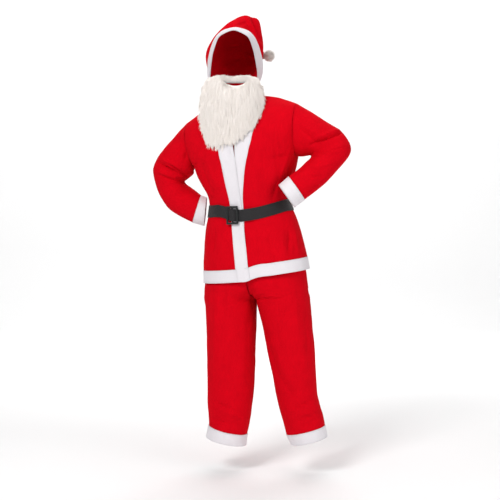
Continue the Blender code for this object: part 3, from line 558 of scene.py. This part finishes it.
def beard_flow(x, z):
    """Which way the pile lies at a place: sideways over the lip, down and a little apart below it."""
    apart = np.clip((x + 8) / 84, -1.1, 1.1)
    lip = smoothstep(z, 36, 50) * (1 - smoothstep(abs(x + 6), 26, 60))
    apart *= 0.34 * smoothstep(z, -60, 20) - (0.26 if x > 0 else 0.06) * (1 - smoothstep(z, -70, 10))
    below = np.array([apart, -1.0])
    above = np.array([0.85 * np.clip((x + 6) / 15, -1, 1), -0.42])
    way = below * (1 - lip) + above * lip
    return way / np.linalg.norm(way)


def beard_pile(look, material):
    """Locks of fine hair over the beard's form, drawn together at their tips, with wisps at the edge."""
    rng = np.random.default_rng(look.seed)
    form = BeardForm()
    steps, hairs = 6, look.hairs_per_lock
    paths, across, widths, outward = [], [], [], []
    lip_roots = rng.uniform((-34, 49), (24, 61), (look.lip_locks, 2))
    for x, z in np.concatenate([form.roots(look.locks, rng), lip_roots]):
        if not form.depth(x, z)[1]:
            continue
        lip = z > 44 and abs(x + 6) < 40
        side = 1 if z > 42 else -1
        away = np.array([(x + 8) / 80, (z + 20) / 110])
        away /= np.linalg.norm(away)
        phase, swing, turns = rng.uniform(0, 6.28), rng.uniform(0.8, 2.6), rng.uniform(0.8, 1.7)
        lifted, wisp = rng.uniform(1.0, 3.6), z < 12 and rng.uniform() < look.wisps * (1 if x < 20 else 0.35)
        edge = z < 40 and not wisp and not form.depth(x + 6 * away[0], z + 6 * away[1])[1]
        length = rng.uniform(13, 21) if lip else rng.uniform(10, 19) if edge else rng.uniform(28, 56)
        path, px, pz, off = [], x, z, 0
        substep = length / (steps - 1)
        for k in range(steps):
            f = k / (steps - 1)
            bow = ((px - MOUTH["x"]) / MOUTH["half_width"]) ** 2
            middle = MOUTH["z"] + MOUTH["corner_lift"] * bow
            margin = MOUTH["under_lip" if side > 0 else "half_height"] * max(1 - bow, 0) ** 0.5
            if margin > 0 and side * (z - middle) > 0 and side * (pz - middle) < margin:
                pz = middle + side * margin
            found, on = form.depth(px, pz)
            y = found if on or not path else y + 1.0
            off += 0 if on else 1
            sway = swing * math.sin(phase + turns * 6.28 * f) * f ** 0.5
            path.append((px + sway, y + 1.2 - lifted * math.sin(math.pi * min(f * 1.25, 1)) - 0.6 * f, pz))
            if off:
                substep *= rng.uniform(0.5, 0.85) if wisp or edge else rng.uniform(0.1, 0.3)
            way = beard_flow(px, pz)
            if edge:
                way = (way + away) / np.linalg.norm(way + away)
            px, pz = px + way[0] * substep, pz + way[1] * substep
        guide = np.array(path)
        spread = rng.uniform(2.6, 4.6)
        turn, far = rng.uniform(0, 6.28, hairs), np.sqrt(rng.uniform(0, 1, hairs)) * spread
        f = np.linspace(0, 1, steps)[None, :, None]
        offset = np.stack([far * np.cos(turn), far * np.sin(turn) * 0.35, far * np.sin(turn)], -1)[:, None, :]
        stray = rng.normal(0, 0.7, (hairs, 1, 3)) * f ** 1.5 * rng.uniform(0.6, 3.2, (hairs, 1, 1))
        bunch = guide[None] + offset * (1 - 0.72 * f) + stray
        roll = rng.uniform(-0.9, 0.9, hairs)
        lean = np.array([(x + 8) / 150, -1.0, 0.16]) + rng.normal(0, look.tuft_shade, 3)
        out = lean + rng.normal(0, 0.08, (hairs, 3))
        outward.append(out / np.linalg.norm(out, axis=1, keepdims=True))
        level = np.stack([np.cos(roll), np.sin(roll), np.zeros(hairs)], -1)[:, None, :].repeat(steps, 1)
        paths.append(bunch)
        across.append(level)
        taper = 1.0 - 0.8 * f[..., 0] ** 1.4
        widths.append(look.hair_width / MM * taper * rng.uniform(0.7, 1.3, (hairs, 1)))
    return ribbons("beard_pile", np.concatenate(paths) * MM, np.concatenate(across),
                   np.concatenate(widths) * MM, np.concatenate(outward), material, "beard_pile")


def ball_pile(name, centre, inner, outer, count, material, slot, seed):
    """A round pompom of short hairs."""
    rng = np.random.default_rng(seed)
    way = rng.normal(size=(count, 3))
    way /= np.linalg.norm(way, axis=1, keepdims=True)
    steps = 5
    f = np.linspace(0, 1, steps)[None, :, None]
    reach = rng.uniform(0.78, 1.02, (count, 1, 1)) * outer
    curl = rng.normal(0, 0.16, (count, 1, 3)) * f ** 1.6 * outer
    paths = centre + way[:, None] * (inner + (reach - inner) * f) + curl
    side = np.cross(way, rng.normal(size=(count, 3)))
    side /= np.linalg.norm(side, axis=1, keepdims=True)
    widths = 0.00032 * (1 - 0.8 * f[..., 0]) * np.ones((count, 1))
    lit = way + np.array([0.7, -0.8, 0.2])
    return ribbons(name, paths, side[:, None].repeat(steps, 1), widths, lit, material, slot)


# settings

class SuitClothLook(bpy.types.PropertyGroup):
    fleece_red: bpy.props.FloatVectorProperty(name="Fleece red", description="Colour of the red fleece",
                                              default=(0.60, 0.001, 0.008), subtype="COLOR", min=0, max=1)
    trim_white: bpy.props.FloatVectorProperty(name="Trim white", description="Colour of the plush bands",
                                              default=(0.76, 0.73, 0.76), subtype="COLOR", min=0, max=1)
    fleece_wall: bpy.props.FloatProperty(name="Fleece", description="Thickness of the red fleece",
                                         default=0.0015, unit="LENGTH")
    trim_wall: bpy.props.FloatProperty(name="Trim", description="Thickness of the white bands",
                                       default=0.0026, unit="LENGTH")
    nap: bpy.props.FloatProperty(name="Nap", description="Depth of the cloth's nap",
                                 default=0.0005, unit="LENGTH")
    waviness: bpy.props.FloatProperty(name="Waviness", description="Depth of the cloth's slow unevenness",
                                      default=0.0011, unit="LENGTH")
    fold_depth: bpy.props.FloatProperty(name="Fold depth", description="How deep the table's folds are laid",
                                        default=1.7, min=0)
    # seam_reach also sets how far the painted seam shade reaches
    seam_reach: bpy.props.FloatProperty(name="Seam reach", description="How far a seam draws the cloth in",
                                        default=0.006, unit="LENGTH")


class SuitPileLook(bpy.types.PropertyGroup):
    beard_white: bpy.props.FloatVectorProperty(name="Beard white", description="Colour of the hair tips",
                                               default=(1.0, 0.95, 0.91), subtype="COLOR", min=0, max=1)
    # painted shade: the colour the pile is darkened to between its locks
    beard_shaded_root: bpy.props.FloatVectorProperty(name="Beard root", description="Colour between the locks",
                                              default=(0.94, 0.87, 0.81), subtype="COLOR", min=0, max=1)
    wisps: bpy.props.FloatProperty(name="Wisps", description="Share of lower locks that stray past the edge",
                                   default=0.3, min=0, max=1)
    locks: bpy.props.IntProperty(name="Locks", description="Locks of hair on the beard", default=1240, min=10)
    lip_locks: bpy.props.IntProperty(name="Lip", description="Short locks laid over the lip",
                                     default=90, min=1)
    tuft_shade: bpy.props.FloatProperty(name="Tufts", description="How far locks differ in the way they face",
                                        default=0.13, min=0)
    hairs_per_lock: bpy.props.IntProperty(name="Hairs", description="Hairs in one lock", default=14, min=1)
    hair_width: bpy.props.FloatProperty(name="Hair", description="Half the width of one hair at its root",
                                        default=0.00027, unit="LENGTH")
    seed: bpy.props.IntProperty(name="Seed", description="Which chance lay of hair is used", default=7)


class SuitBeltLook(bpy.types.PropertyGroup):
    webbing_charcoal: bpy.props.FloatVectorProperty(name="Webbing", description="Colour of the webbing",
                                                    default=(0.013, 0.012, 0.013), subtype="COLOR",
                                                    min=0, max=1)
    buckle_black: bpy.props.FloatVectorProperty(name="Buckle", description="Colour of the plastic buckle",
                                                default=(0.006, 0.007, 0.007), subtype="COLOR", min=0, max=1)
    rib_pitch: bpy.props.FloatProperty(name="Rib pitch", description="Distance between two ribs of the weave",
                                       default=0.0021, unit="LENGTH")
    edge_round: bpy.props.FloatProperty(name="Edge", description="Rounding of the buckle's edges",
                                        default=0.0007, unit="LENGTH")


class SuitStageLook(bpy.types.PropertyGroup):
    lens: bpy.props.FloatProperty(name="Lens", description="Focal length in millimetres", default=84.41)
    floor_height: bpy.props.FloatProperty(name="Floor", description="Height of the floor under the neck",
                                          default=-1.0795, unit="LENGTH")
    floor_colour: bpy.props.FloatVectorProperty(name="Floor", description="Colour of floor and backdrop",
                                                default=(0.90, 0.90, 0.90), subtype="COLOR", min=0, max=1)
    power: bpy.props.FloatProperty(name="Light", description="Strength of all lamps together", default=0.84)


# operators

class SUIT_OT_jacket(bpy.types.Operator):
    """Make the jacket's panels and sleeves of red fleece"""
    bl_idname = "suit.jacket"
    bl_label = "Jacket"

    def execute(self, context):
        look = context.scene.suit_cloth
        red = fleece(look)
        for node in ("jacket_back", "jacket_front_left", "jacket_front_right"):
            cloth(node, "jacket", look.fleece_wall, red, "red_fleece", look)
        for node in ("sleeve_left", "sleeve_right"):
            cloth(node, node, look.fleece_wall, red, "red_fleece", look, rim=0.0022)
        return {"FINISHED"}


class SUIT_OT_trousers(bpy.types.Operator):
    """Make the trousers' four panels and their waistband of red fleece"""
    bl_idname = "suit.trousers"
    bl_label = "Trousers"

    def execute(self, context):
        look = context.scene.suit_cloth
        red = fleece(look)
        for side in ("left", "right"):
            for half in ("front", "back"):
                cloth(f"trouser_{half}_{side}", "trousers", look.fleece_wall, red, "red_fleece", look)
        cloth("waistband", "trousers", look.fleece_wall, red, "red_fleece", look)
        return {"FINISHED"}


class SUIT_OT_trims(bpy.types.Operator):
    """Make the white plush bands of jacket, trousers and hat"""
    bl_idname = "suit.trims"
    bl_label = "White bands"

    def execute(self, context):
        look = context.scene.suit_cloth
        white = plush(look)
        for node, garment in (("front_band_left", "jacket"), ("front_band_right", "jacket"),
                              ("hem_band", "jacket"), ("cuff_left", "sleeve_left"),
                              ("cuff_right", "sleeve_right"), ("leg_band_left", "trousers"),
                              ("leg_band_right", "trousers"), ("hat_trim", "trim")):
            wall = 0.0015 if node.startswith("front_band") else look.trim_wall
            cloth(node, garment, wall, white, "white_plush", look)
        return {"FINISHED"}


class SUIT_OT_hat(bpy.types.Operator):
    """Make the hat's floppy crown and its pompom"""
    bl_idname = "suit.hat"
    bl_label = "Hat"

    def execute(self, context):
        look, pile = context.scene.suit_cloth, context.scene.suit_pile
        crown = cloth("hat_crown", "hat", look.fleece_wall, fleece(look), "red_fleece", look, levels=3)
        low, high = (np.array(corner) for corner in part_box("hat_pompom"))
        centre, radius = (low + high) / 2, (high - low).max() / 2
        white = pile_finish("pompom_pile", tuple(pile.beard_white), tuple(pile.beard_shaded_root))
        data = through_points(merged("hat_pompom"), 1)
        put(data, centre + (places(data) - centre) * 0.72)
        core = finished("pompom_core", data, white, "white_plush", "hat_pompom")
        hair = ball_pile("pompom_pile", centre, radius * 0.62, radius, 5200, white, "white_plush", pile.seed)
        return {"FINISHED"}


class SUIT_OT_beard(bpy.types.Operator):
    """Make the beard's backing, its long pile and the elastic behind the head"""
    bl_idname = "suit.beard"
    bl_label = "Beard"

    def execute(self, context):
        pile = context.scene.suit_pile
        white = pile_finish("beard_hair", tuple(pile.beard_white), tuple(pile.beard_shaded_root))
        data = through_points(merged("beard"), 1, math.radians(70))
        points = places(data) / MM
        low = smoothstep(-points[:, 2], -30, 60)
        points[:, 0] = -12 + (points[:, 0] + 12) * (1 - 0.07 * low)
        points[:, 2] = points[:, 2] + 14 * smoothstep(-points[:, 2], 60, 140)
        front = np.clip(-normals(data)[:, 1], 0, 1)
        points[:, 1] += 2.6 * front
        put(data, points * MM)
        base = finished("beard_backing", data, white, "beard_pile", "beard")
        hair = beard_pile(pile, white)
        data = through_points(merged("beard_elastic"), 1, math.radians(50))
        along_strip(data, 0, 0)
        elastic = finished("beard_elastic_band", data, elastic_finish(), "white_elastic", "beard_elastic")
        return {"FINISHED"}


class SUIT_OT_belt(bpy.types.Operator):
    """Make the webbing belt and its plastic buckle"""
    bl_idname = "suit.belt"
    bl_label = "Belt"

    def execute(self, context):
        look = context.scene.suit_belt
        data = through_points(outer_layer("belt_strap"), 2)
        along_strip(data, 0.0, 0.022)
        strap = finished("belt_webbing", data, webbing(look), "charcoal_webbing", "belt_strap")
        give_wall(strap, 0.0015, 0.3)
        mesh = merged("buckle")
        sharp = [e for e in mesh.edges if len(e.link_faces) == 2 and e.calc_face_angle() > math.radians(30)]
        bmesh.ops.bevel(mesh, geom=sharp, offset=look.edge_round, segments=2, profile=0.5, affect="EDGES",
                        material=-1)
        data = bpy.data.meshes.new("buckle_plastic")
        mesh.to_mesh(data)
        mesh.free()
        buckle = finished("buckle_plastic", data, plastic(look), "black_plastic", "buckle")
        for polygon in buckle.data.polygons:
            polygon.use_smooth = polygon.area < 0.00002
        return {"FINISHED"}


class SUIT_OT_stage(bpy.types.Operator):
    """Make the camera, the pale floor with its backdrop and the soft studio light"""
    bl_idname = "suit.stage"
    bl_label = "Stage"

    def execute(self, context):
        look, scene = context.scene.suit_stage, context.scene
        eye = bpy.data.cameras.new("camera")
        eye.lens, eye.sensor_width = look.lens, 36.0
        camera = bpy.data.objects.new("camera", eye)
        camera.location = FACE_ON
        camera.rotation_euler = (math.radians(90 - TILT), 0, 0)
        scene.collection.objects.link(camera)
        scene.camera = camera

        mesh = bmesh.new()
        start = [mesh.verts.new((x, -5.0, 0)) for x in (-9.0, 9.0)]
        edge = [mesh.edges.new(start)]
        bend = [(3.4 + 1.6 * math.sin(a), 1.6 - 1.6 * math.cos(a)) for a in np.linspace(0, math.pi / 2, 13)]
        for y, z in bend + [(5.0, 7.0)]:
            made = bmesh.ops.extrude_edge_only(mesh, edges=edge)["geom"]
            fresh = [v for v in made if isinstance(v, bmesh.types.BMVert)]
            for v in fresh:
                v.co.y, v.co.z = y, z
            edge = [e for e in made if isinstance(e, bmesh.types.BMEdge) and all(v in fresh for v in e.verts)]
        bmesh.ops.translate(mesh, verts=mesh.verts, vec=(0, 0, look.floor_height))
        data = bpy.data.meshes.new("backdrop")
        mesh.to_mesh(data)
        mesh.free()
        pale = Finish("backdrop_paper", 0.9, specular=0.1)
        cloud = pale.grain(0.8, 2)
        data.materials.append(pale.wear(colour=pale.blend(cloud, shade(look.floor_colour, 0.985),
                                                          tuple(look.floor_colour))))
        for polygon in data.polygons:
            polygon.use_smooth = True
        backdrop = bpy.data.objects.new("backdrop", data)
        scene.collection.objects.link(backdrop)

        for name, place, size, watts in LAMPS:
            lamp = bpy.data.lights.new(name, "AREA")
            lamp.size, lamp.energy = size, watts * look.power
            thing = bpy.data.objects.new(name, lamp)
            thing.location = place
            if name == "wall":
                thing.rotation_euler = (math.radians(70), 0, 0)
            else:
                aim = Vector(SUIT_MIDDLE) - Vector(place)
                thing.rotation_euler = aim.to_track_quat("-Z", "Y").to_euler()
            scene.collection.objects.link(thing)
        world = scene.world or bpy.data.worlds.new("world")
        scene.world = world
        world.use_nodes = True
        sky = world.node_tree.nodes["Background"]
        sky.inputs["Color"].default_value = (1, 1, 1, 1)
        sky.inputs["Strength"].default_value = 0.36 * look.power
        scene.view_settings.view_transform = "Standard"
        return {"FINISHED"}


class SUIT_PT_looks(bpy.types.Panel):
    """The suit's pieces and their settings"""
    bl_idname = "SUIT_PT_looks"
    bl_label = "Santa Suit"
    bl_space_type = "VIEW_3D"
    bl_region_type = "UI"
    bl_category = "Santa Suit"

    def draw(self, context):
        for group in ("suit_cloth", "suit_pile", "suit_belt", "suit_stage"):
            box = self.layout.box()
            settings = getattr(context.scene, group)
            for key in settings.bl_rna.properties.keys():
                if key not in ("rna_type", "name"):
                    box.prop(settings, key)
        for operator in OPERATORS:
            self.layout.operator(operator.bl_idname)


GROUPS = {"suit_cloth": SuitClothLook, "suit_pile": SuitPileLook, "suit_belt": SuitBeltLook,
          "suit_stage": SuitStageLook}
OPERATORS = (SUIT_OT_stage, SUIT_OT_jacket, SUIT_OT_trims, SUIT_OT_trousers, SUIT_OT_hat, SUIT_OT_beard,
             SUIT_OT_belt)


def register():
    for kind in (*GROUPS.values(), *OPERATORS, SUIT_PT_looks):
        bpy.utils.register_class(kind)
    for name, kind in GROUPS.items():
        setattr(bpy.types.Scene, name, bpy.props.PointerProperty(type=kind))


def unregister():
    for name in GROUPS:
        delattr(bpy.types.Scene, name)
    for kind in (SUIT_PT_looks, *reversed(OPERATORS), *GROUPS.values()):
        bpy.utils.unregister_class(kind)


def main():
    register()
    for operator in OPERATORS:
        group, verb = operator.bl_idname.split(".")
        getattr(getattr(bpy.ops, group), verb)()


if __name__ == "__main__":
    main()
